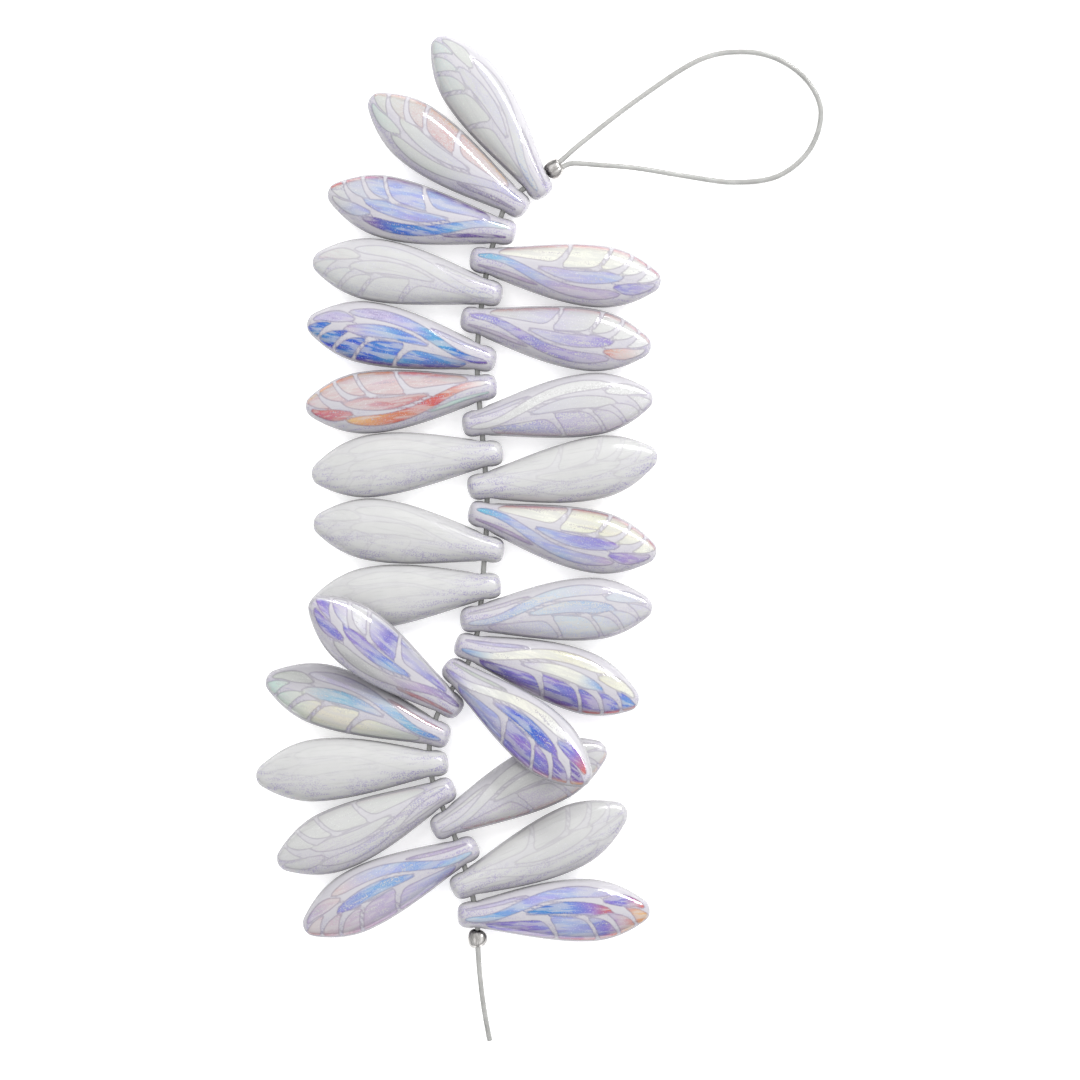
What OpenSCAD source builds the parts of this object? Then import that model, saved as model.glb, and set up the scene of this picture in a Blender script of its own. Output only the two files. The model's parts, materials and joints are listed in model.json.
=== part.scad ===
// Strand of wing-shaped pressed glass beads on a nylon monofilament.
// Millimetres. +Z is up, the strand lies flat on z = 0, +Y points to the hanging loop.
// The origin is under the middle of the strand, without its loop.

/* [Bead] */
// Length of a wing bead, root to tip
bead_l = 16; // [13:0.5:20]
// Greatest width of the wing
bead_w = 5.2; // [4.2:0.1:6.4]
// Thickness of the wing
bead_t = 3.2; // [2.6:0.1:4]
// Width of the root, where the hole goes through it
root_w = 2.3; // [2:0.1:2.6]
// Bow of the wing's centre line towards its trailing edge
bead_camber = 0.2; // [0:0.05:0.5]
// Diameter of the hole through the root
bore_d = 1; // [0.9:0.05:1.3]
// Distance from the end of the root to the hole
bore_at = 1.6; // [1.5:0.05:1.9]

/* [Thread] */
// Diameter of the nylon monofilament
thread_d = 0.45; // [0.3:0.05:0.5]
// Size of the hanging loop against the real one
loop_scale = 1; // [0.8:0.05:1.3]
// Length of the bare tail
tail_l = 8.6; // [6:0.2:14]

/* [Crimps] */
// Length of a squeezed crimp along the thread
crimp_l = 1.5; // [1.2:0.1:1.8]
// Width of a squeezed crimp across its two lobes
crimp_w = 1.6; // [1.3:0.1:2]

/* [Strand] */
// Distance between holes along the thread, as a share of the wing's width
pitch_share = 0.51; // [0.5:0.01:0.56]
// How far a wing that lies on its neighbour is lifted at its belly, in wing thicknesses
lift_share = 0.66; // [0.6:0.02:0.8]

/* [Hidden] */

// The roots touch before the wings do on a narrow wing
pitch = max(bead_w * pitch_share, root_w + 0.3);
thread_z = bead_t / 2;
tip_reach = bead_l - bore_at;

// bore_d is for a thread of 0.45, and the hole is wider by as much as the thread is thicker
hole_d = bore_d + max(0, thread_d - 0.45);

// The thread's way is drawn for a pitch of 2.65 and a reach of 14.4 from hole to tip. A longer
// reach fans the tips out more, so the thread then sways less.
route_s = pitch / 2.65;
sway = 14.4 / tip_reach;
thread_low = thread_d / 2 + 0.02;
thread_sides = 8;
curve_steps = 8;
bead_sides = 12;
bead_round = 2.15;

// Moves the strand so that the origin lies under its middle
centre = [-0.13, -0.06];

// The thread's way through the beads, from the upper crimp to the lower one
strung_route = [
  [7.9, 30.9], [6.2, 29.6], [4.1, 27.8], [3.2, 25.2], [2.5, 22.5], [1.8, 17.5], [1.7, 13.5],
  [2.2, 7.5], [2.5, 3], [2.3, -1], [1.9, -6], [1.4, -8.9], [0.4, -11.2], [-1, -13.2],
  [-2.1, -15.8], [-2.3, -18.6], [-1.6, -21.2], [-0.4, -24], [0.9, -28], [1.6, -31], [1.7, -33],
  [1.8, -35]
];

// One row a bead, from the loop down: side (-1 left, 1 right), slip along the thread in
// pitches, shift of the tip towards the loop in pitches, lift of the belly in shares of
// lift_share, and 1 if the wing is turned over so that its leading edge changes side
bead_rows = [
  [-1, -0.05, 0.3, 0, 0],
  [-1, -0.1, -0.65, 0, 1],
  [-1, -0.05, -0.25, 0, 1],
  [1, -0.05, 0.5, 0, 0],
  [-1, -0.05, 0.2, 0, 0],
  [1, -0.15, -0.25, 0, 0],
  [-1, 0, 1.05, 0, 0],
  [-1, -0.05, -0.25, 0, 1],
  [1, 0.05, 0.3, 0, 1],
  [-1, 0.05, -0.2, 0, 0],
  [1, 0, 0.6, 0, 0],
  [1, -0.05, -1.05, 0, 0],
  [-1, 0, 0.45, 0, 0],
  [-1, 0.2, -1.05, 0, 0],
  [1, 0.2, 1.05, 0, 1],
  [1, 0.15, -0.1, 0, 1],
  [1, 0.1, -0.7, 1.25, 1],
  [-1, 0, 0.7, 1.15, 1],
  [-1, 0.1, 0.5, 0, 0],
  [-1, 0.1, 0.15, 0, 0],
  [-1, 0.05, -0.35, 0, 1],
  [1, 0.05, 0.3, 0, 1],
  [-1, 0.05, -0.75, 0, 0],
  [1, 0, 0.9, 0, 0],
  [1, 0.05, -0.6, 0, 1]
];

// Wing sections: share of the length, of the root's width, of the wing's width (the two are
// added) and of the thickness
wing_rows = [
  [0, 0.452, 0, 0.4], [0.012, 0.7, 0, 0.64], [0.04, 0.904, 0, 0.84], [0.1, 1, 0, 0.95],
  [0.17, 0.85, 0.154, 1], [0.26, 0.6, 0.395, 1], [0.36, 0.35, 0.635, 1], [0.47, 0.15, 0.844, 1],
  [0.57, 0, 0.98, 1], [0.66, 0, 1, 1], [0.74, 0, 0.965, 0.94], [0.82, 0, 0.84, 0.8],
  [0.89, 0, 0.65, 0.62], [0.945, 0, 0.44, 0.46], [0.98, 0, 0.3, 0.34], [1, 0, 0.12, 0.15]
];

// The hanging loop, out from the upper crimp and back into it: along, across and height
loop_route = [
  [0, 0, 1], [1.1, 0, 1], [3.1, 0.15, 0.92], [9, 0.25, 0.62], [15, -0.15, 0.35], [18.3, -1.7, 0.22],
  [20.4, -4, 0.14], [21.3, -7, 0.14], [20.6, -9.8, 0.14], [17.9, -11.7, 0.14], [14.5, -11.8, 0.16],
  [11.3, -10, 0.24], [8.5, -7.3, 0.4], [5.5, -4.2, 0.64], [3.1, -2.1, 0.9], [1.5, -0.75, 1],
  [0.5, -0.5, 1], [0, -0.5, 1]
];

function cubic(a, b, c, d, t) = 0.5 * (2 * b + (c - a) * t + (2 * a - 5 * b + 4 * c - d) * t * t
  + (3 * b - a - 3 * c + d) * t * t * t);

function curve(p, n) = let(last = len(p) - 1, q = concat([2 * p[0] - p[1]], p,
  [2 * p[last] - p[last - 1]])) concat([for (i = [1:last], k = [0:n - 1])
  cubic(q[i - 1], q[i], q[i + 1], q[i + 2], k / n)], [p[last]]);

function walk(p, i = 0, s = 0) = i >= len(p) ? []
  : let(t = i == 0 ? 0 : s + norm(p[i] - p[i - 1])) concat([t], walk(p, i + 1, t));

drawn = curve([for (p = strung_route) p * route_s], curve_steps);
drawn_s = walk(drawn);
strung_x = [for (i = [0:len(drawn) - 1]) [drawn_s[i], drawn[i][0] * sway + centre[0]]];
strung_y = [for (i = [0:len(drawn) - 1]) [drawn_s[i], drawn[i][1] + centre[1]]];

function on_thread(s) = [lookup(s, strung_x), lookup(s, strung_y)];

function heading(s) = let(d = on_thread(s + 0.3 * pitch) - on_thread(s - 0.3 * pitch))
  atan2(d[1], d[0]);

first_s = 2 * route_s;
function bead_s(i) = first_s + (i + bead_rows[i][1]) * pitch;
function bead_yaw(i) = let(r = bead_rows[i], lean = asin(r[2] * pitch / tip_reach))
  heading(bead_s(i)) + r[0] * (90 + lean);
function bead_lift(i) = asin(bead_rows[i][3] * lift_share * bead_t / (0.6 * bead_l - bore_at));

// Ends of the strung length, straight through both crimps
lower_s = first_s + 24.79 * pitch;
upper_at = on_thread(0);
upper_yaw = heading(0.3 * pitch) + 180;
lower_at = on_thread(lower_s);
lower_yaw = heading(lower_s - 0.3 * pitch);

strung_rings = 30;
function flat_dir(a) = [cos(a), sin(a), 0];
strung_line = concat(
  [[upper_at[0], upper_at[1], thread_z]],
  [for (i = [1:strung_rings]) let(p = on_thread(lower_s * i / strung_rings)) [p[0], p[1], thread_z]],
  [for (k = [1:5]) let(f = k / 5) [lower_at[0], lower_at[1], 0]
    + tail_l * f * flat_dir(lower_yaw + 5 * f)
    + [0, 0, thread_z + (thread_low - thread_z) * f * f]]
);

loop_flat = [for (p = loop_route) [p[0] * loop_scale * cos(upper_yaw) - p[1] * loop_scale * sin(upper_yaw)
  + upper_at[0], p[0] * loop_scale * sin(upper_yaw) + p[1] * loop_scale * cos(upper_yaw) + upper_at[1],
  max(thread_low, p[2] * thread_z)]];
loop_line = curve(loop_flat, 3);

function unit(v) = v / norm(v);
function line_dir(p, i) = unit(p[min(i + 1, len(p) - 1)] - p[max(i - 1, 0)]);
function ring(p, i, r) = let(t = line_dir(p, i), u = unit(cross([0, 0, 1], t)), v = cross(t, u))
  [for (k = [0:thread_sides - 1]) let(a = 360 * k / thread_sides) p[i] + r * (cos(a) * u + sin(a) * v)];

// Side faces of a skin of rings with n points each, closed by its two end faces
function skin_faces(rings, n) = concat(
  [[for (k = [0:n - 1]) k]],
  [for (i = [0:rings - 2], k = [0:n - 1]) let(j = (k + 1) % n) [i * n + j, i * n + k, (i + 1) * n + k]],
  [for (i = [0:rings - 2], k = [0:n - 1]) let(j = (k + 1) % n) [i * n + j, (i + 1) * n + k, (i + 1) * n + j]],
  [[for (k = [n - 1:-1:0]) (rings - 1) * n + k]]
);

module tube(line) {
  polyhedron(points = [for (i = [0:len(line) - 1]) each ring(line, i, thread_d / 2)],
    faces = skin_faces(len(line), thread_sides));
}

function power(v, e) = sign(v) * pow(abs(v), e);

function wing_ring(row, turned) = let(
  x = row[0] * bead_l - bore_at,
  bow = bead_camber * sin(180 * row[0]) * (turned == 1 ? 1 : -1),
  a = (row[1] * root_w + row[2] * bead_w) / 2, b = row[3] * bead_t / 2)
  [for (k = [0:bead_sides - 1]) let(t = 360 * k / bead_sides)
    [x, bow + a * power(cos(t), 2 / bead_round), b * power(sin(t), 2 / bead_round)]];

// A wing lying along +X with its hole through the origin along Y
module wing(turned) {
  difference() {
    polyhedron(points = [for (r = wing_rows) each wing_ring(r, turned)],
      faces = skin_faces(len(wing_rows), bead_sides));
    rotate([90, 0, 0])
      cylinder(d = hole_d, h = bead_w, center = true, $fn = 32);
  }
}

module bead(i) {
  p = on_thread(bead_s(i));
  color([0.93, 0.93, 0.95])
    translate([p[0], p[1], thread_z])
      rotate([0, -bead_lift(i), bead_yaw(i)])
        wing(bead_rows[i][4]);
}

// Two lobes squeezed round the thread, which runs through along X
module crimp(strands) {
  difference() {
    union() {
      translate([0, crimp_w * 0.16, 0])
        scale([crimp_l / 2, crimp_w * 0.34, crimp_w * 0.36])
          sphere(r = 1, $fn = 32);
      translate([0, -crimp_w * 0.18, 0])
        scale([crimp_l * 0.46, crimp_w * 0.32, crimp_w * 0.3])
          sphere(r = 1, $fn = 32);
    }
    for (y = strands)
      translate([0, y, 0])
        rotate([0, 90, 0])
          cylinder(d = thread_d * 0.96, h = crimp_l * 2, center = true, $fn = 24);
  }
}

module crimp_upper() {
  color([0.75, 0.75, 0.76])
    translate([upper_at[0], upper_at[1], thread_z])
      rotate([0, 0, upper_yaw])
        translate([0, -0.25, 0])
          crimp([0.25, -0.25]);
}

module crimp_lower() {
  color([0.75, 0.75, 0.76])
    translate([lower_at[0], lower_at[1], thread_z])
      rotate([0, 0, lower_yaw])
        crimp([0]);
}

module thread_strung() {
  color([0.85, 0.86, 0.84])
    tube(strung_line);
}

module thread_loop() {
  color([0.85, 0.86, 0.84])
    tube(loop_line);
}

thread_strung();
thread_loop();
crimp_upper();
crimp_lower();
bead(0);  // bead_01
bead(1);  // bead_02
bead(2);  // bead_03
bead(3);  // bead_04
bead(4);  // bead_05
bead(5);  // bead_06
bead(6);  // bead_07
bead(7);  // bead_08
bead(8);  // bead_09
bead(9);  // bead_10
bead(10);  // bead_11
bead(11);  // bead_12
bead(12);  // bead_13
bead(13);  // bead_14
bead(14);  // bead_15
bead(15);  // bead_16
bead(16);  // bead_17
bead(17);  // bead_18
bead(18);  // bead_19
bead(19);  // bead_20
bead(20);  // bead_21
bead(21);  // bead_22
bead(22);  // bead_23
bead(23);  // bead_24
bead(24);  // bead_25
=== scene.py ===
"""Looks of a strand of wing-shaped glass beads on nylon monofilament.

Metres, +Z up, +Y towards the loop.
"""

import json
import math

import bpy
import numpy as np
from mathutils import Matrix, Vector, noise


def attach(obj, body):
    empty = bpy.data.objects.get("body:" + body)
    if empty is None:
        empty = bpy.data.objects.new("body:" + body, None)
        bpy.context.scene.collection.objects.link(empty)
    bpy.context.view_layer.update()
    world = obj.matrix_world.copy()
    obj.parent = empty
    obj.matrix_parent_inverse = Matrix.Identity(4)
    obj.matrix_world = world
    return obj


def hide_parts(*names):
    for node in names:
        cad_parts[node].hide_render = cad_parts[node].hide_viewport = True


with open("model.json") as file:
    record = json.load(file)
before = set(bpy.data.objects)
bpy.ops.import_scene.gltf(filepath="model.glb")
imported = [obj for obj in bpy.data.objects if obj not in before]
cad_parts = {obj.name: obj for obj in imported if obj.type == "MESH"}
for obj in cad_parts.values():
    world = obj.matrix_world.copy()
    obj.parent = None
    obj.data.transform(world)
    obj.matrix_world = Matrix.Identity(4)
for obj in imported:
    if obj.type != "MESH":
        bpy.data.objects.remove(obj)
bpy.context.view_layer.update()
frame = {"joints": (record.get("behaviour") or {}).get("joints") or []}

MM = 0.001

# Bead, in millimetres
BEAD_L = 16.0
BEAD_T = 3.2
CAMBER = 0.2
HOLE_D = 1.0
HOLE_AT = 1.6
ROUND = 2.15
RING_POINTS = 72
BORE_POINTS = 40
BORE_REACH = 1.75
WING_CREASE = 38

# Thread and crimps, in millimetres
THREAD_D = 0.45
THREAD_Z = BEAD_T / 2
THREAD_LOW = THREAD_D / 2 + 0.02
CRIMP_L = 1.5
CRIMP_W = 1.6
CRIMP_HALF_HEIGHT = 0.62
CRIMP_CREASE = 50
PITCH = 2.652
TAIL_L = 8.6
TAIL_BEND = 5
LOOP_LENGTH = 0.0535

# Sections of the wing: share of the length, width and thickness in millimetres
WING_ROWS = [
    (0, 0, 0), (0.0015, 0.62, 0.75), (0.006, 1.22, 1.5), (0.012, 1.6, 2.02), (0.024, 1.9, 2.42),
    (0.04, 2.1, 2.7), (0.07, 2.24, 2.93), (0.1, 2.3, 3.05), (0.17, 2.74, 3.2), (0.26, 3.4, 3.2),
    (0.36, 4.1, 3.2), (0.47, 4.73, 3.2), (0.57, 5.1, 3.2), (0.66, 5.2, 3.18), (0.74, 5.02, 3.0),
    (0.82, 4.38, 2.58), (0.89, 3.4, 2.02), (0.945, 2.36, 1.5), (0.975, 1.68, 1.12),
    (0.99, 1.16, 0.78), (0.998, 0.52, 0.36), (1, 0, 0),
]  # fmt: skip


# ---------------------------------------------------------------- curves

def between(a, b, c, d, t):
    """The point t of the way from b to c on a smooth line through a, b, c and d."""
    square = (2 * a - 5 * b + 4 * c - d) * t * t
    cube = (3 * b - a - 3 * c + d) * t ** 3
    return 0.5 * (2 * b + (c - a) * t + square + cube)


def smooth_curve(points, steps):
    """Points of a smooth line through the given ones."""
    p = np.array(points, float)
    q = np.vstack([2 * p[0] - p[1], p, 2 * p[-1] - p[-2]])
    out = []
    for i in range(1, len(p)):
        a, b, c, d = q[i - 1], q[i], q[i + 1], q[i + 2]
        for k in range(steps):
            t = k / steps
            out.append(between(a, b, c, d, t))
    out.append(p[-1])
    return np.array(out)


def closed_curve(points, steps):
    """Points of a smooth closed line through the given ones."""
    p = np.array(points, float)
    n = len(p)
    out = []
    for i in range(n):
        a, b, c, d = p[i - 1], p[i], p[(i + 1) % n], p[(i + 2) % n]
        for k in range(steps):
            t = k / steps
            out.append(between(a, b, c, d, t))
    return np.array(out)


# ---------------------------------------------------------------- the wing's mesh

def power(v, e):
    return np.sign(v) * np.abs(v) ** e


def wing_bow(f):
    """The centre line bows towards the trailing edge, which is -v."""
    return -CAMBER * np.sin(np.pi * f)


def wing_skin(name, lead):
    """A wing along +X, its hole through the origin along Y. lead is 1 or -1: the leading edge's side."""
    rows = smooth_curve(WING_ROWS, 5)
    turn = np.linspace(0, 2 * np.pi, RING_POINTS, endpoint=False)
    verts = []
    for f, w, t in rows[1:-1]:
        x = np.full(RING_POINTS, f * BEAD_L - HOLE_AT)
        y = lead * wing_bow(f) + max(w, 0) / 2 * power(np.cos(turn), 2 / ROUND)
        z = max(t, 0) / 2 * power(np.sin(turn), 2 / ROUND)
        verts.append(np.stack([x, y, z], 1))
    n, rings = RING_POINTS, len(verts)
    verts = np.vstack(verts + [[[-HOLE_AT, 0, 0], [BEAD_L - HOLE_AT, 0, 0]]])
    root, tip = n * rings, n * rings + 1
    faces = []
    for k in range(n):
        j = (k + 1) % n
        faces.append((root, j, k))
        faces.append((tip, (rings - 1) * n + k, (rings - 1) * n + j))
        for i in range(rings - 1):
            faces.append((i * n + k, i * n + j, (i + 1) * n + j, (i + 1) * n + k))
    mesh = bpy.data.meshes.new(name)
    mesh.from_pydata((verts * MM).tolist(), [], faces)
    mesh.update()
    return mesh


def link(obj):
    bpy.context.scene.collection.objects.link(obj)
    return obj


def bore_tool():
    """A rod along Y with flared ends, which cuts the hole and rounds its mouths."""
    profile = [(BORE_REACH, 1.3), (1.28, 0.78), (1.08, 0.62), (0.9, 0.535), (0.6, 0.5)]
    rings = [(-y, r) for y, r in profile] + [(y, r) for y, r in reversed(profile)]
    n = BORE_POINTS
    verts = [
        (r * HOLE_D * math.cos(2 * math.pi * k / n), y, r * HOLE_D * math.sin(2 * math.pi * k / n))
        for y, r in rings
        for k in range(n)
    ]
    faces = [tuple(range(n)), tuple(reversed(range((len(rings) - 1) * n, len(rings) * n)))]
    for i in range(len(rings) - 1):
        for k in range(n):
            j = (k + 1) % n
            faces.append((i * n + j, i * n + k, (i + 1) * n + k, (i + 1) * n + j))
    mesh = bpy.data.meshes.new("bore_tool")
    mesh.from_pydata([(x * MM, y * MM, z * MM) for x, y, z in verts], [], faces)
    mesh.update()
    return link(bpy.data.objects.new("bore_tool", mesh))


def bored(mesh, tool):
    """The mesh with its hole cut."""
    obj = link(bpy.data.objects.new("uncut", mesh))
    cut = obj.modifiers.new("hole", "BOOLEAN")
    cut.operation = "DIFFERENCE"
    cut.solver = "EXACT"
    cut.object = tool
    bpy.context.view_layer.update()
    dg = bpy.context.evaluated_depsgraph_get()
    made = bpy.data.meshes.new_from_object(obj.evaluated_get(dg))
    bpy.data.objects.remove(obj)
    made.polygons.foreach_set("use_smooth", [True] * len(made.polygons))
    made.set_sharp_from_angle(angle=math.radians(WING_CREASE))
    return made


# ---------------------------------------------------------------- the wing's pattern
# Places on a wing: share of the length from the root, and millimetres from the line between root
# and tip, positive towards the leading edge.

LEAD_CELLS = [
    [(0.15, 0.72), (0.25, 0.6), (0.34, 0.56), (0.42, 0.56), (0.455, 0.85), (0.485, 1.5), (0.5, 2.1),
     (0.44, 2.5), (0.34, 2.1), (0.24, 1.5)],
    [(0.487, 0.26), (0.56, 0.3), (0.63, 0.45), (0.668, 0.8), (0.695, 1.5), (0.71, 2.2), (0.69, 2.6),
     (0.6, 2.8), (0.54, 2.5), (0.528, 1.9), (0.507, 1.0)],
    [(0.682, 0.4), (0.74, 0.55), (0.78, 0.85), (0.806, 1.3), (0.825, 1.9), (0.8, 2.4), (0.75, 2.5),
     (0.736, 2.0), (0.722, 1.4), (0.703, 0.85)],
    [(0.785, 0.12), (0.84, 0.25), (0.88, 0.5), (0.912, 1.0), (0.905, 1.6), (0.86, 1.95), (0.846, 1.5),
     (0.832, 1.05), (0.812, 0.55)],
    [(0.88, -0.3), (0.93, -0.18), (0.965, 0.08), (0.985, 0.4), (0.955, 1.0), (0.934, 0.9),
     (0.922, 0.5), (0.903, 0.05)],
]  # fmt: skip
LENS_CELL = [
    (0.36, -0.06), (0.45, -0.02), (0.55, -0.06), (0.64, 0.04), (0.71, 0.14), (0.765, 0.06), (0.8, -0.1),
    (0.76, -0.5), (0.68, -0.8), (0.58, -0.93), (0.48, -0.74), (0.4, -0.36),
]  # fmt: skip
BAND_CELL = [
    (0.045, 0.32), (0.1, 0.5), (0.16, 0.44), (0.22, 0.25), (0.29, -0.12), (0.36, -0.52), (0.44, -0.98),
    (0.52, -1.24), (0.6, -1.36), (0.68, -1.36), (0.74, -1.34), (0.79, -1.55), (0.74, -1.9),
    (0.66, -2.14), (0.58, -2.14), (0.5, -1.96), (0.42, -1.62), (0.35, -1.2), (0.28, -0.7),
    (0.21, -0.24), (0.14, 0.04), (0.08, 0.14),
]  # fmt: skip
TIP_CELL = [
    (0.76, -0.94), (0.82, -0.64), (0.87, -0.5), (0.92, -0.46), (0.965, -0.3), (0.955, -0.62),
    (0.92, -1.0), (0.87, -1.34), (0.82, -1.4), (0.785, -1.2),
]  # fmt: skip
STREAK_CELL = [
    (0.05, -0.5), (0.15, -0.66), (0.25, -0.98), (0.36, -1.5), (0.3, -1.38), (0.2, -1.0), (0.1, -0.68),
]  # fmt: skip
CELLS = LEAD_CELLS + [LENS_CELL, BAND_CELL, TIP_CELL, STREAK_CELL]
LENS, BAND, TIP, STREAK = 5, 6, 7, 8
MARGIN = 0.22


def signed_distance(x, v, outline):
    """Distance in millimetres from points to a closed line, positive inside it."""
    line = closed_curve([(f * BEAD_L, w) for f, w in outline], 5)
    nearest = np.full(len(x), 1e9)
    inside = np.zeros(len(x), bool)
    for (ax, ay), (bx, by) in zip(line, np.roll(line, -1, 0)):
        ex, ey = bx - ax, by - ay
        t = np.clip(((x - ax) * ex + (v - ay) * ey) / max(ex * ex + ey * ey, 1e-9), 0, 1)
        nearest = np.minimum(nearest, np.hypot(x - ax - t * ex, v - ay - t * ey))
        crosses = (ay > v) != (by > v)
        if by != ay:
            inside ^= crosses & (x < ax + (v - ay) * ex / (by - ay))
    return np.where(inside, nearest, -nearest)


def outline_distance(f, v):
    """Distance in millimetres from the leading and from the trailing outline."""
    rows = smooth_curve(WING_ROWS, 5)
    half = np.interp(f, rows[:, 0], rows[:, 1]) / 2
    middle = wing_bow(f)
    return middle + half - v, v - middle + half


def wing_map(mesh, lead):
    """What the pattern needs at every vertex: place, depth inside the nearest cell, which cell, rim."""
    co = np.zeros(len(mesh.vertices) * 3)
    mesh.vertices.foreach_get("co", co)
    co = co.reshape(-1, 3) / MM
    x, v = co[:, 0] + HOLE_AT, co[:, 1] * lead
    f = np.clip(x / BEAD_L, 0, 1)
    front, back = outline_distance(f, v)
    depth = np.stack([signed_distance(x, v, cell) for cell in CELLS])
    depth = np.minimum(depth, np.minimum(front, back)[None] - MARGIN)
    cell = depth.argmax(0)
    return {
        "f": f, "x": x, "v": v, "z": co[:, 2], "cell": cell, "depth": depth.max(0),
        "front": front, "rim": np.minimum(np.minimum(front, back), BEAD_L * (1 - f)),
        "back": back,
    }  # fmt: skip


# ---------------------------------------------------------------- colours

PALETTE = {
    "pearl": (0.885, 0.885, 0.88), "smoke": (0.8, 0.8, 0.8), "white": (1.0, 1.0, 1.0),
    "lilac": (0.8, 0.78, 0.9), "periwinkle": (0.7, 0.74, 0.93), "blue": (0.42, 0.62, 0.9),
    "deep": (0.2, 0.46, 0.84), "teal": (0.35, 0.68, 0.86), "violet": (0.55, 0.49, 0.84),
    "purple": (0.46, 0.34, 0.66), "mauve": (0.75, 0.68, 0.83), "pink": (0.88, 0.79, 0.8),
    "rose": (0.82, 0.58, 0.61), "red": (0.86, 0.42, 0.36), "orange": (0.96, 0.72, 0.52),
    "cream": (1.0, 1.0, 0.95), "butter": (0.95, 0.94, 0.85), "sage": (0.83, 0.86, 0.82),
    "mint": (0.82, 0.93, 0.9), "sky": (0.76, 0.84, 0.95),
}  # fmt: skip


def linear(c):
    return tuple(v / 12.92 if v <= 0.04045 else ((v + 0.055) / 1.055) ** 2.4 for v in c)


GAIN = 0.59  # the colours above are as seen in the studio light; this makes them surface colours
COLOUR = {k: np.array(linear(c)) * GAIN for k, c in PALETTE.items()}

# One look a bead, from the loop down. turned: the leading edge is on the other side. film: how much
# coating is left. lead, lens, band, tip: colours from the root to the tip of those cells.
# edge: colours of the line where the leading cells end.
# Cream and white stops in these looks are mostly painted highlights: the light's reflection on the coating,
# painted into its colour.
LOOKS = [
    {"film": 0.55, "lead": "sage sage mint", "edge": "smoke sage", "lens": "lilac lilac",
     "band": "blue lilac lilac", "tip": "sage sage", "streak": "purple"},
    {"turned": 1, "film": 0.65, "lead": "pink rose sage", "edge": "orange orange red", "lens": "lilac sage",
     "band": "violet lilac sage sage", "tip": "sage mint", "streak": "purple"},
    {"turned": 1, "film": 0.95, "lead": "lilac periwinkle periwinkle pearl", "edge": "purple purple red",
     "lens": "periwinkle periwinkle", "band": "mint periwinkle blue deep deep purple",
     "tip": "periwinkle pearl", "streak": "purple"},
    {"film": 0.85, "lead": "cream cream cream white", "edge": "rose rose", "lens": "lilac periwinkle",
     "band": "teal periwinkle mauve mauve", "tip": "violet lilac", "streak": "mauve"},
    {"film": 0.42, "lead": "pearl pearl sage mint", "edge": "smoke mint", "lens": "lilac lilac",
     "band": "deep lilac lilac lilac", "tip": "pearl rose", "streak": "purple"},
    {"film": 0.75, "lead": "pearl lilac pearl white", "edge": "rose rose", "lens": "lilac violet",
     "band": "violet violet violet mauve", "tip": "red white", "streak": "mauve"},
    {"film": 1, "lead": "blue blue deep deep", "edge": "violet purple deep",
     "lens": "periwinkle blue periwinkle mauve", "band": "purple deep teal periwinkle lilac lilac",
     "tip": "lilac lilac", "streak": "lilac"},
    {"turned": 1, "film": 0.92, "lead": "pink pink pink", "edge": "red orange", "lens": "rose rose pink",
     "band": "white red red orange", "tip": "rose red", "streak": "mint"},
    {"turned": 1, "film": 0.6, "lead": "violet violet mauve white", "edge": "rose mauve",
     "lens": "lilac pearl", "band": "pearl white white", "tip": "white white", "streak": "lilac"},
    {"film": 0.16, "lead": "mauve mauve", "lens": "lilac mauve", "band": "rose mauve"},
    {"film": 0.2, "lead": "mauve mauve", "lens": "mauve mauve", "band": "periwinkle mauve"},
    {"film": 0.9, "lead": "cream cream butter cream", "edge": "rose rose", "lens": "periwinkle violet",
     "band": "teal periwinkle periwinkle mauve", "tip": "violet mauve", "streak": "mauve"},
    {"film": 0.18, "lead": "mauve mauve", "lens": "violet mauve", "band": "mauve mauve"},
    {"film": 0.14, "lead": "mauve mauve", "lens": "lilac mauve", "band": "violet mauve"},
    {"turned": 1, "film": 0.6, "lead": "mauve sky lilac", "edge": "mauve mauve", "lens": "sky blue",
     "band": "sky blue sky lilac", "tip": "sky lilac", "streak": "mauve"},
    {"turned": 1, "film": 0.95, "lead": "purple violet violet violet violet blue",
     "edge": "violet mauve purple red red", "lens": "lilac cream cream blue",
     "band": "blue cream cream butter cream", "tip": "butter cream", "streak": "lilac"},
    {"turned": 1, "film": 0.95, "lead": "periwinkle periwinkle violet violet purple",
     "edge": "violet violet orange", "lens": "lilac deep deep violet",
     "band": "violet white cream cream white", "tip": "deep violet red", "streak": "sage"},
    {"turned": 1, "film": 0.9, "lead": "violet lilac violet white violet", "edge": "white white",
     "lens": "blue blue violet violet", "band": "purple mauve smoke smoke", "tip": "violet violet",
     "streak": "rose"},
    {"film": 0.8, "lead": "sage butter butter mint", "edge": "sage sage", "lens": "lilac teal pearl",
     "band": "deep teal periwinkle lilac lilac", "tip": "smoke sage", "streak": "rose"},
    {"film": 0.1, "lead": "mauve mauve", "lens": "lilac mauve", "band": "mauve mauve"},
    {"turned": 1, "film": 0.5, "lead": "sage pearl", "edge": "pink smoke", "lens": "sage mauve",
     "band": "violet purple violet mauve", "tip": "mauve sage", "streak": "mauve"},
    {"turned": 1, "film": 0.55, "lead": "mauve mauve pearl", "edge": "red red orange orange",
     "lens": "pearl pearl", "band": "lilac pearl pearl", "tip": "pearl pearl", "streak": "pearl"},
    {"film": 0.8, "lead": "periwinkle mauve pink", "edge": "violet rose", "lens": "blue blue violet",
     "band": "sky blue periwinkle pink", "tip": "pink mauve", "streak": "mauve"},
    {"film": 0.3, "lead": "mauve pearl", "edge": "pink pearl", "lens": "pearl pearl",
     "band": "mauve mauve pearl"},
    {"turned": 1, "film": 0.95, "lead": "violet violet periwinkle violet orange",
     "edge": "violet mauve red orange", "lens": "deep deep blue violet red",
     "band": "sky blue periwinkle periwinkle lilac", "tip": "violet violet red", "streak": "lilac"},
]  # fmt: skip


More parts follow.
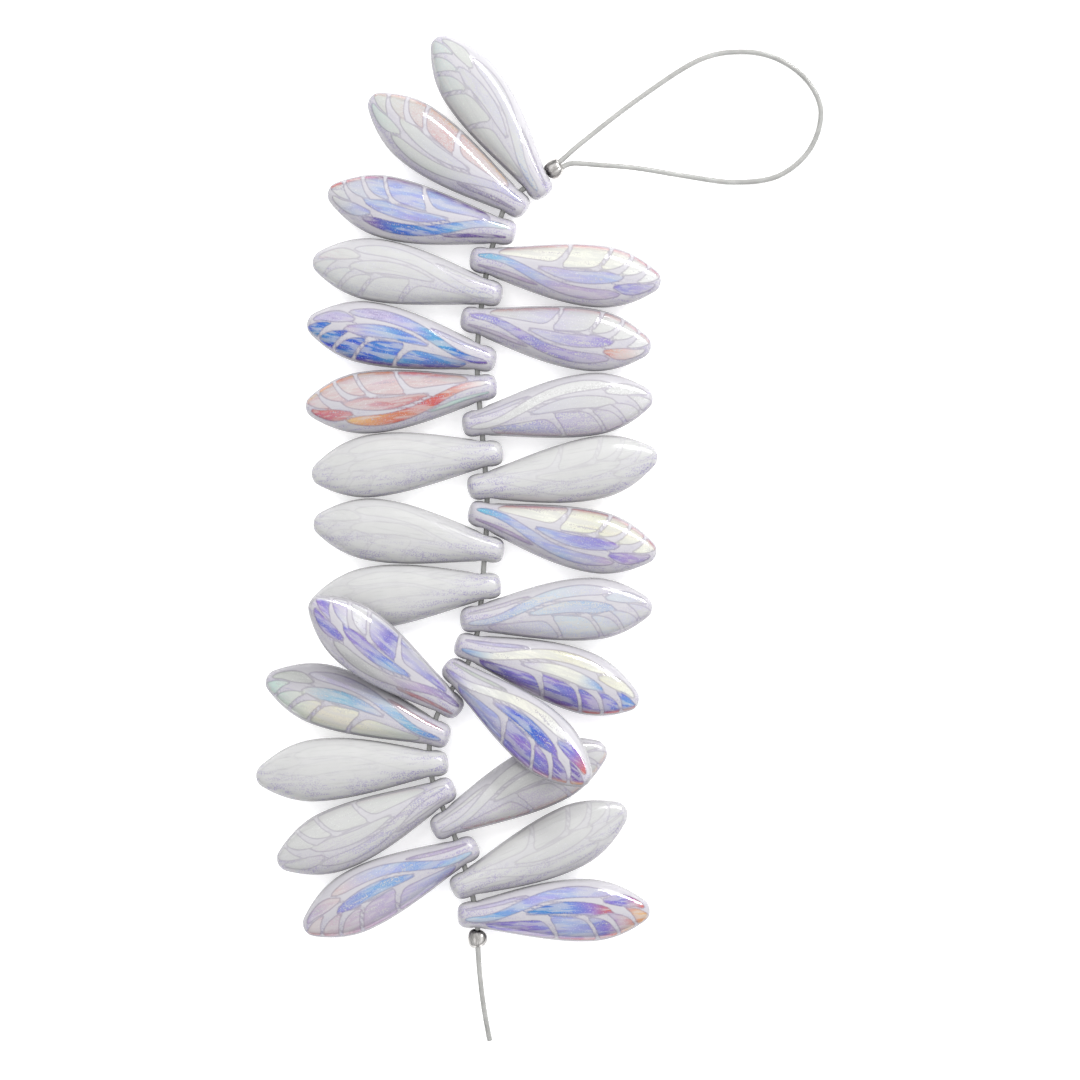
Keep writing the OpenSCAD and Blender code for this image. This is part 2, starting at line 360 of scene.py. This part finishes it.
def ramp(words, t):
    """Colours run through evenly from t 0 to t 1."""
    stops = np.array([COLOUR[w] for w in words.split()])
    at = np.linspace(0, 1, len(stops))
    return np.stack([np.interp(t, at, stops[:, k]) for k in range(3)], 1)


def dustiness(m, lead_is_low):
    """Where worn coating is left as specks: along the edge nearer the tail, and at the root."""
    edge = m["front"] if lead_is_low else m["back"]
    return np.clip(np.clip(1.1 - edge / 2.4, 0, 1) + 0.7 * np.clip(1 - m["f"] / 0.3, 0, 1), 0, 1)


def wing_paint(m, look):
    """The coating's colour at every vertex of a wing."""
    f = m["f"]
    lead = ramp(look.get("lead", "pearl pearl"), (f - 0.2) / 0.75)
    edge = ramp(look.get("edge", "pearl pearl"), (f - 0.2) / 0.75)
    near_edge = np.clip(1 - (m["front"] - MARGIN) / 0.28, 0, 1)[:, None]
    lead = lead * (1 - near_edge) + edge * near_edge
    by_cell = {
        LENS: ramp(look.get("lens", "pearl pearl"), (f - 0.36) / 0.44),
        BAND: ramp(look.get("band", "pearl pearl"), (f - 0.05) / 0.7),
        TIP: ramp(look.get("tip", "pearl pearl"), (f - 0.76) / 0.2),
        STREAK: ramp(look.get("streak", "pearl") + " " + look.get("streak", "pearl"), f),
    }
    paint = lead
    for cell, colours in by_cell.items():
        paint = np.where((m["cell"] == cell)[:, None], colours, paint)
    return paint


# ---------------------------------------------------------------- materials

def new_material(name):
    mat = bpy.data.materials.new(name)
    mat.use_nodes = True
    nodes = mat.node_tree.nodes
    return mat, nodes, mat.node_tree.links, nodes["Principled BSDF"]


def math_node(nodes, links, operation, a, b=None):
    n = nodes.new("ShaderNodeMath")
    n.operation = operation
    for k, value in enumerate([a] if b is None else [a, b]):
        if isinstance(value, (int, float)):
            n.inputs[k].default_value = value
        else:
            links.new(value, n.inputs[k])
    return n.outputs[0]


def soft_step(nodes, links, value, low, high):
    """0 below low, 1 above high, smooth between."""
    n = nodes.new("ShaderNodeMapRange")
    n.interpolation_type = "SMOOTHSTEP"
    links.new(value, n.inputs["Value"])
    n.inputs["From Min"].default_value = low
    n.inputs["From Max"].default_value = high
    return n.outputs["Result"]


def mix_colour(nodes, links, share, a, b):
    n = nodes.new("ShaderNodeMix")
    n.data_type = "RGBA"
    links_or_value(links, share, n.inputs[0])
    links_or_value(links, a, n.inputs[6])
    links_or_value(links, b, n.inputs[7])
    return n.outputs[2]


def links_or_value(links, value, socket):
    if isinstance(value, bpy.types.NodeSocket):
        links.new(value, socket)
    elif isinstance(value, (int, float)):
        socket.default_value = value
    else:
        socket.default_value = (*value, 1.0)


def noise_of(nodes, links, vector, scale, detail=3.0, rough=0.55):
    n = nodes.new("ShaderNodeTexNoise")
    links.new(vector, n.inputs["Vector"])
    n.inputs["Scale"].default_value = scale
    n.inputs["Detail"].default_value = detail
    n.inputs["Roughness"].default_value = rough
    return n.outputs["Fac"]


def stretched(nodes, links, vector, scale):
    n = nodes.new("ShaderNodeMapping")
    links.new(vector, n.inputs["Vector"])
    n.inputs["Scale"].default_value = scale
    return n.outputs["Vector"]


def attribute(nodes, name):
    n = nodes.new("ShaderNodeAttribute")
    n.attribute_name = name
    return n


def turned_hue(nodes, links, colour, hue, saturation):
    n = nodes.new("ShaderNodeHueSaturation")
    links.new(hue, n.inputs["Hue"])
    n.inputs["Saturation"].default_value = saturation
    links.new(colour, n.inputs["Color"])
    return n.outputs["Color"]


def rough_between(nodes, links, shader, value, at_zero, at_one):
    rough = nodes.new("ShaderNodeMapRange")
    links.new(value, rough.inputs["Value"])
    rough.inputs["To Min"].default_value = at_zero
    rough.inputs["To Max"].default_value = at_one
    links.new(rough.outputs["Result"], shader.inputs["Roughness"])


def bumpy(nodes, links, shader, height, strength, distance):
    bump = nodes.new("ShaderNodeBump")
    bump.inputs["Strength"].default_value = strength
    bump.inputs["Distance"].default_value = distance
    links.new(height, bump.inputs["Height"])
    links.new(bump.outputs["Normal"], shader.inputs["Normal"])


class Glass:
    """The wing's material and the noises and facts that its parts share."""

    def __init__(self):
        self.mat, self.nodes, self.links, self.shader = new_material("wing_glass")
        self.place = attribute(self.nodes, "wing_place").outputs["Vector"]
        painted = attribute(self.nodes, "wing_paint")
        self.paint, self.dusty = painted.outputs["Color"], painted.outputs["Alpha"]
        split = self.nodes.new("ShaderNodeSeparateXYZ")
        self.links.new(attribute(self.nodes, "wing_facts").outputs["Vector"], split.inputs[0])
        self.depth, self.rim, self.film = split.outputs
        self.broad = self.noise(0.8, 2.0)
        self.speck = self.noise(9.0, 2.0, 0.6)
        self.patch = self.along(0.28, 1.0, 3.0)
        self.streak = self.along(0.14, 2.6)
        self.hair = self.along(0.06, 6.5)
        self.lit = math_node(self.nodes, self.links, "MINIMUM", self.times(self.film, 1.5), 1.0)

    def times(self, a, b):
        return math_node(self.nodes, self.links, "MULTIPLY", a, b)

    def plus(self, a, b):
        return math_node(self.nodes, self.links, "ADD", a, b)

    def less(self, a, b):
        return math_node(self.nodes, self.links, "SUBTRACT", a, b)

    def step(self, value, low, high):
        return soft_step(self.nodes, self.links, value, low, high)

    def mix(self, share, a, b):
        return mix_colour(self.nodes, self.links, share, a, b)

    def noise(self, scale, detail, rough=0.55):
        return noise_of(self.nodes, self.links, self.place, scale, detail, rough)

    def along(self, stretch, scale, detail=4.0):
        """Noise drawn out along the wing."""
        vector = stretched(self.nodes, self.links, self.place, (stretch, 1.0, 0.5))
        return noise_of(self.nodes, self.links, vector, scale, detail, 0.6)


def bare_glass(g):
    """The glass, with fine lines drawn out along it and worn coating left as specks."""
    lines = g.step(g.hair, 0.5, 0.7)
    body = g.mix(g.times(g.broad, 0.5), COLOUR["pearl"], COLOUR["smoke"])
    body = g.mix(g.times(lines, 0.3), body, tuple(COLOUR["smoke"] * 0.86))
    left = g.times(g.dusty, g.step(g.streak, 0.42, 0.58))
    dust = g.times(g.step(g.speck, 0.48, 0.58), left)
    dust_colour = COLOUR["violet"] * 0.7 + COLOUR["pink"] * 0.15
    return g.mix(g.times(dust, 0.7), body, tuple(dust_colour))


def coating_strength(g):
    """The coating is whole where there is much of it, and worn to specks where there is little."""
    grain = g.plus(g.times(g.speck, 0.5), g.times(g.streak, 0.5))
    gone = g.less(0.68, g.times(g.film, 0.34))
    kept = g.step(g.less(grain, gone), -0.05, 0.07)
    return g.times(kept, g.plus(0.3, g.times(g.film, 0.66)))


def coating_colour(g):
    """The painted colour, turned a little from place to place, with pale, deep and bright streaks."""
    hue = g.plus(0.5, g.times(g.less(g.patch, 0.5), 0.16))
    shifted = turned_hue(g.nodes, g.links, g.paint, hue, 1.08)
    pale = g.mix(0.62, shifted, COLOUR["pearl"])
    sheen = g.step(g.streak, 0.44, 0.58)
    varied = g.mix(g.times(sheen, 0.9), shifted, pale)
    grain = g.plus(g.times(g.streak, 0.6), g.times(g.speck, 0.4))
    deep = g.less(1.0, g.step(grain, 0.36, 0.44))
    varied = g.mix(g.times(deep, 0.55), varied, tuple(COLOUR["purple"] * 0.9))
    glint = g.step(g.speck, 0.6, 0.7)
    return g.mix(g.times(glint, 0.4), varied, tuple(COLOUR["white"] * 1.2))


def with_lines_and_painted_edge_shade(g, colour):
    """A thin grey line where each cell ends, and painted shade that darkens the glass towards the wing's
    outline.
    """
    ends = math_node(g.nodes, g.links, "ABSOLUTE", g.plus(g.depth, 0.05))
    line = g.less(1.0, g.step(ends, 0.02, 0.09))
    grey = tuple(COLOUR["mauve"] * 0.42)
    colour = g.mix(g.times(g.times(line, g.lit), 0.36), colour, grey)
    # Painted shade: the glass is darker within 0.24 mm of the wing's outline.
    painted_edge_shade = g.less(1.0, g.step(g.rim, 0.0, 0.24))
    return g.mix(g.times(painted_edge_shade, 0.62), colour, tuple(COLOUR["smoke"] * 0.55))


def wing_glass():
    """Opal glass with a rainbow coating in the cells and matt etched veins between them."""
    g = Glass()
    fine = g.noise(7.0, 3.0, 0.6)
    edge = g.plus(g.depth, g.times(g.less(fine, 0.5), 0.16))
    coated = g.step(edge, -0.12, 0.0)
    body = bare_glass(g)
    etched = g.mix(0.28, body, tuple(COLOUR["lilac"] * np.array([0.96, 0.91, 0.87])))
    coating = g.mix(coating_strength(g), body, coating_colour(g))
    colour = g.mix(coated, g.mix(g.lit, body, etched), coating)
    shader = g.shader
    g.links.new(with_lines_and_painted_edge_shade(g, colour), shader.inputs["Base Color"])

    shiny = g.times(coated, g.lit)
    rough_between(g.nodes, g.links, shader, shiny, 0.24, 0.08)
    g.links.new(g.times(g.times(shiny, g.film), 0.3), shader.inputs["Metallic"])
    bumpy(g.nodes, g.links, shader, g.plus(coated, g.times(g.streak, 0.5)), 0.2, 0.00004)
    shader.inputs["IOR"].default_value = 1.52
    shader.inputs["Subsurface Weight"].default_value = 0.3
    shader.inputs["Subsurface Radius"].default_value = (1.0, 1.0, 1.0)
    shader.inputs["Subsurface Scale"].default_value = 0.0015
    return g.mat


def nylon():
    """Clear monofilament, a little milky."""
    mat, nodes, links, shader = new_material("nylon")
    coords = nodes.new("ShaderNodeTexCoord").outputs["Object"]
    cloud = noise_of(nodes, links, coords, 900.0, 2.0)
    colour = mix_colour(nodes, links, cloud, linear((0.56, 0.56, 0.55)), linear((0.72, 0.72, 0.71)))
    links.new(colour, shader.inputs["Base Color"])
    shader.inputs["Roughness"].default_value = 0.16
    shader.inputs["IOR"].default_value = 1.53
    shader.inputs["Transmission Weight"].default_value = 0.35
    return mat


def crimp_metal():
    """Silver-coloured metal with the marks of the pliers."""
    mat, nodes, links, shader = new_material("crimp_metal")
    coords = nodes.new("ShaderNodeTexCoord").outputs["Object"]
    drawn_out = stretched(nodes, links, coords, (900, 4200, 1500))
    scratch = noise_of(nodes, links, drawn_out, 1.0, 5.0, 0.7)
    marks = soft_step(nodes, links, scratch, 0.4, 0.7)
    colour = mix_colour(nodes, links, marks, linear((0.6, 0.59, 0.58)), linear((0.84, 0.83, 0.82)))
    links.new(colour, shader.inputs["Base Color"])
    shader.inputs["Metallic"].default_value = 1.0
    rough_between(nodes, links, shader, scratch, 0.12, 0.3)
    bumpy(nodes, links, shader, scratch, 0.25, 0.00003)
    return mat


# ---------------------------------------------------------------- beads

# Beads that lie on a neighbour: the lift in thicknesses where they cross it, and the share of the
# length where that is
LIFT_SHARE = 0.66
LIFTS = {17: 1.25, 18: 1.15}
CROSSING_AT = 0.6


def bead_matrix(number, joint):
    """Where the wing lies: its hole on the joint's line, its tip lifted if it lies on a neighbour."""
    ax, ay, _ = joint["axis"]
    yaw = math.atan2(ax, -ay)
    reach = CROSSING_AT * BEAD_L - HOLE_AT
    lift = math.asin(LIFTS.get(number, 0) * LIFT_SHARE * BEAD_T / reach)
    return (
        Matrix.Translation(Vector(joint["pos_m"]))
        @ Matrix.Rotation(yaw, 4, "Z")
        @ Matrix.Rotation(-lift, 4, "Y")
    )


def set_attribute(mesh, name, kind, values):
    made = mesh.attributes.new(name, kind, "POINT")
    key = "color" if kind == "FLOAT_COLOR" else "vector"
    made.data.foreach_set(key, np.ascontiguousarray(values, np.float32).ravel())


def make_beads():
    tool = bore_tool()
    shapes = {}
    for turned, lead in ((0, 1), (1, -1)):
        mesh = bored(wing_skin(f"wing_{turned}", lead), tool)
        shapes[turned] = (mesh, wing_map(mesh, lead))
    bpy.data.objects.remove(tool)
    glass = wing_glass()
    joints = {j["child"]: j for j in frame["joints"]}
    for number, look in enumerate(LOOKS, 1):
        shape, m = shapes[look.get("turned", 0)]
        mesh = shape.copy()
        mesh.name = f"wing_bead_{number:02d}"
        seed = 7.3 * number
        count = len(m["f"])
        place = np.stack([m["x"] + seed, m["v"] + 2 * seed, m["z"] - seed], 1)
        points_left = joints[f"wing_{number:02d}"]["axis"][1] > 0
        dust = dustiness(m, points_left != bool(look.get("turned", 0)))
        paint = np.hstack([wing_paint(m, look), dust[:, None]])
        facts = np.stack([m["depth"], m["rim"], np.full(count, look["film"])], 1)
        set_attribute(mesh, "wing_place", "FLOAT_VECTOR", place)
        set_attribute(mesh, "wing_paint", "FLOAT_COLOR", paint)
        set_attribute(mesh, "wing_facts", "FLOAT_VECTOR", facts)
        mesh.materials.clear()
        mesh.materials.append(glass)
        bead = link(bpy.data.objects.new(f"wing_bead_{number:02d}", mesh))
        body = f"wing_{number:02d}"
        bead.matrix_world = bead_matrix(number, joints[body])
        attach(bead, body)
        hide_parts(f"bead_{number:02d}")


# ---------------------------------------------------------------- thread and crimps

ROUTE_S = PITCH / 2.65
PITCHES = 24.79  # from crimp to crimp
LOOK_AHEAD = 0.3 * PITCH
STRUNG_STEPS = 60
TAIL_STEPS = 10
CENTRE = np.array([-0.13, -0.06])
STRUNG_ROUTE = [
    (7.9, 30.9), (6.2, 29.6), (4.1, 27.8), (3.2, 25.2), (2.5, 22.5), (1.8, 17.5), (1.7, 13.5),
    (2.2, 7.5), (2.5, 3), (2.3, -1), (1.9, -6), (1.4, -8.9), (0.4, -11.2), (-1, -13.2),
    (-2.1, -15.8), (-2.3, -18.6), (-1.6, -21.2), (-0.4, -24), (0.9, -28), (1.6, -31), (1.7, -33),
    (1.8, -35),
]  # fmt: skip
LOOP_ROUTE = [
    (0, 0, 1), (1.1, 0, 1), (3.1, 0.15, 0.92), (9, 0.25, 0.62), (15, -0.15, 0.35), (18.3, -1.7, 0.22),
    (20.4, -4, 0.14), (21.3, -7, 0.14), (20.6, -9.8, 0.14), (17.9, -11.7, 0.14), (14.5, -11.8, 0.16),
    (11.3, -10, 0.24), (8.5, -7.3, 0.4), (5.5, -4.2, 0.64), (3.1, -2.1, 0.9), (1.5, -0.75, 1),
    (0.5, -0.5, 1), (0, -0.5, 1),
]  # fmt: skip


class Way:
    """The thread's way through the beads, by the length along it in millimetres."""

    def __init__(self):
        self.line = smooth_curve(np.array(STRUNG_ROUTE) * ROUTE_S, 8) + CENTRE
        self.s = np.concatenate([[0], np.cumsum(np.hypot(*np.diff(self.line, axis=0).T))])
        self.low_s = 2 * ROUTE_S + PITCHES * PITCH
        self.upper = self.at(0)
        self.upper_yaw = self.heading(LOOK_AHEAD) + 180
        self.lower = self.at(self.low_s)
        self.lower_yaw = self.heading(self.low_s - LOOK_AHEAD)

    def at(self, s):
        return np.array([np.interp(s, self.s, self.line[:, k]) for k in (0, 1)])

    def heading(self, s):
        d = self.at(s + LOOK_AHEAD) - self.at(s - LOOK_AHEAD)
        return math.degrees(math.atan2(d[1], d[0]))


def strung_points(way):
    """Through the beads, then the bare tail falling to the surface."""
    points = [
        (*way.at(way.low_s * i / STRUNG_STEPS), THREAD_Z) for i in range(STRUNG_STEPS + 1)
    ]
    for k in range(1, TAIL_STEPS + 1):
        f = k / TAIL_STEPS
        a = math.radians(way.lower_yaw + TAIL_BEND * f)
        x, y = way.lower + TAIL_L * f * np.array([math.cos(a), math.sin(a)])
        points.append((x, y, THREAD_Z + (THREAD_LOW - THREAD_Z) * f * f))
    return points


def loop_points(way):
    """From the upper crimp round the hanging loop and back to it."""
    a = math.radians(way.upper_yaw)
    c, s = math.cos(a), math.sin(a)
    x, y = way.upper
    flat = [
        (u * c - w * s + x, u * s + w * c + y, max(THREAD_LOW, h * THREAD_Z)) for u, w, h in LOOP_ROUTE
    ]
    return smooth_curve(flat, 6)


def thread_curve(name, points, material):
    data = bpy.data.curves.new(name, "CURVE")
    data.dimensions = "3D"
    data.bevel_depth = THREAD_D / 2 * MM
    data.bevel_resolution = 5
    data.use_fill_caps = True
    line = data.splines.new("POLY")
    line.points.add(len(points) - 1)
    for p, (x, y, z) in zip(line.points, points):
        p.co = (x * MM, y * MM, z * MM, 1)
    line.use_smooth = True
    data.materials.append(material)
    return link(bpy.data.objects.new(name, data))


def crimp_mesh(name, flat_side, material):
    """A round crimp squeezed into two lobes with a crease between them. flat_side is -1 or 1."""
    along, around = 40, 64
    verts = []
    for i in range(along + 1):
        u = -math.cos(math.pi * i / along) * 0.985
        ball = (1 - u * u) ** 0.5
        for k in range(around):
            t = 2 * math.pi * k / around
            c, s = math.cos(t), math.sin(t)
            pinched = 1 - 0.2 * math.exp(-((c / 0.2) ** 2))
            flat = max(0.0, c * flat_side)
            x = u * CRIMP_L / 2 * (1 + 0.08 * flat)
            y = CRIMP_W / 2 * c * ball ** (1 - 0.4 * flat)
            z = CRIMP_HALF_HEIGHT * s * ball * pinched * (1 - 0.42 * flat)
            wobble = 0.02 * noise.noise(Vector((x * 2.1, y * 2.3, z * 2.7 + flat_side)))
            verts.append((x * MM, (y + wobble) * MM, (z + wobble) * MM))
    faces = [tuple(reversed(range(around))), tuple(range(along * around, (along + 1) * around))]
    for i in range(along):
        for k in range(around):
            j = (k + 1) % around
            low, high = i * around, (i + 1) * around
            faces.append((low + k, low + j, high + j, high + k))
    mesh = bpy.data.meshes.new(name)
    mesh.from_pydata(verts, [], faces)
    mesh.polygons.foreach_set("use_smooth", [True] * len(mesh.polygons))
    mesh.set_sharp_from_angle(angle=math.radians(CRIMP_CREASE))
    mesh.materials.append(material)
    return link(bpy.data.objects.new(name, mesh))


def make_thread_and_crimps():
    way = Way()
    clear, metal = nylon(), crimp_metal()
    strung = thread_curve("nylon_strung", strung_points(way), clear)
    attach(strung, "strand")
    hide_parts("thread_strung")
    points = loop_points(way)
    loop = thread_curve("nylon_loop", points, clear)
    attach(loop, "strand")
    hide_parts("thread_loop")
    length = float(np.linalg.norm(np.diff(points, axis=0), axis=1).sum())
    assert abs(length * MM - LOOP_LENGTH) < 0.05 * LOOP_LENGTH
    places = (
        ("crimp_top", way.upper, way.upper_yaw, -0.25, "crimp_upper", 1),
        ("crimp_bottom", way.lower, way.lower_yaw, 0.0, "crimp_lower", -1),
    )
    for name, at, yaw, across, node, flat_side in places:
        piece = crimp_mesh(name, flat_side, metal)
        turn = Matrix.Rotation(math.radians(yaw), 4, "Z")
        middle = Vector((at[0], at[1], THREAD_Z)) * MM
        piece.matrix_world = Matrix.Translation(middle) @ turn @ Matrix.Translation((0, across * MM, 0))
        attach(piece, "strand")
        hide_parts(node)


# ---------------------------------------------------------------- surroundings

FLOOR_HALF = 0.6
FLOOR_Z = -0.00001


def make_floor():
    mesh = bpy.data.meshes.new("floor")
    r, z = FLOOR_HALF, FLOOR_Z
    mesh.from_pydata([(-r, -r, z), (r, -r, z), (r, r, z), (-r, r, z)], [], [(0, 1, 2, 3)])
    floor = link(bpy.data.objects.new("floor", mesh))
    mat, _, _, shader = new_material("white_paper")
    shader.inputs["Base Color"].default_value = (0.9, 0.9, 0.9, 1)
    shader.inputs["Roughness"].default_value = 0.9
    shader.inputs["Specular IOR Level"].default_value = 0.1
    shader.inputs["Emission Color"].default_value = (1, 1, 1, 1)
    shader.inputs["Emission Strength"].default_value = 0.42
    mesh.materials.append(mat)


def area_light(name, at, size, energy, mirrored):
    """mirrored: the light is seen in glossy surfaces."""
    data = bpy.data.lights.new(name, "AREA")
    data.shape = "RECTANGLE"
    data.size, data.size_y = size
    data.energy = energy
    lamp = link(bpy.data.objects.new(name, data))
    lamp.location = at
    lamp.rotation_euler = (-Vector(at)).to_track_quat("-Z", "Y").to_euler()
    lamp.visible_glossy = mirrored


def make_lights():
    """A bright ceiling that darkens towards the horizon, a soft key light and a low softbox."""
    world = bpy.data.worlds.new("studio")
    bpy.context.scene.world = world
    world.use_nodes = True
    nodes, links = world.node_tree.nodes, world.node_tree.links
    split = nodes.new("ShaderNodeSeparateXYZ")
    links.new(nodes.new("ShaderNodeTexCoord").outputs["Generated"], split.inputs[0])
    height = soft_step(nodes, links, split.outputs["Z"], -0.1, 0.75)
    sky = mix_colour(nodes, links, height, (0.34, 0.35, 0.36), (1.3, 1.3, 1.31))
    links.new(sky, nodes["Background"].inputs["Color"])
    nodes["Background"].inputs["Strength"].default_value = 0.92
    area_light("key", (-0.12, 0.3, 0.5), (0.3, 0.3), 1.0, False)
    area_light("softbox", (0.2, 0.23, 0.21), (0.24, 0.045), 1.2, True)


VIEW_WIDTH = 0.08955
VIEW_MIDDLE = (0.00675, -0.00006)
LENS_MM, SENSOR_MM = 200, 36


def make_camera():
    """Straight down, with the picture's top towards +Y."""
    data = bpy.data.cameras.new("camera")
    data.lens, data.sensor_width = LENS_MM, SENSOR_MM
    data.clip_start, data.clip_end = 0.02, 5
    distance = VIEW_WIDTH / 2 / (SENSOR_MM / 2 / LENS_MM)
    camera = link(bpy.data.objects.new("camera", data))
    camera.location = (*VIEW_MIDDLE, distance + THREAD_Z * MM)
    bpy.context.scene.camera = camera


bpy.context.scene.view_settings.view_transform = "Standard"
make_beads()
make_thread_and_crimps()
make_floor()
make_lights()
make_camera()
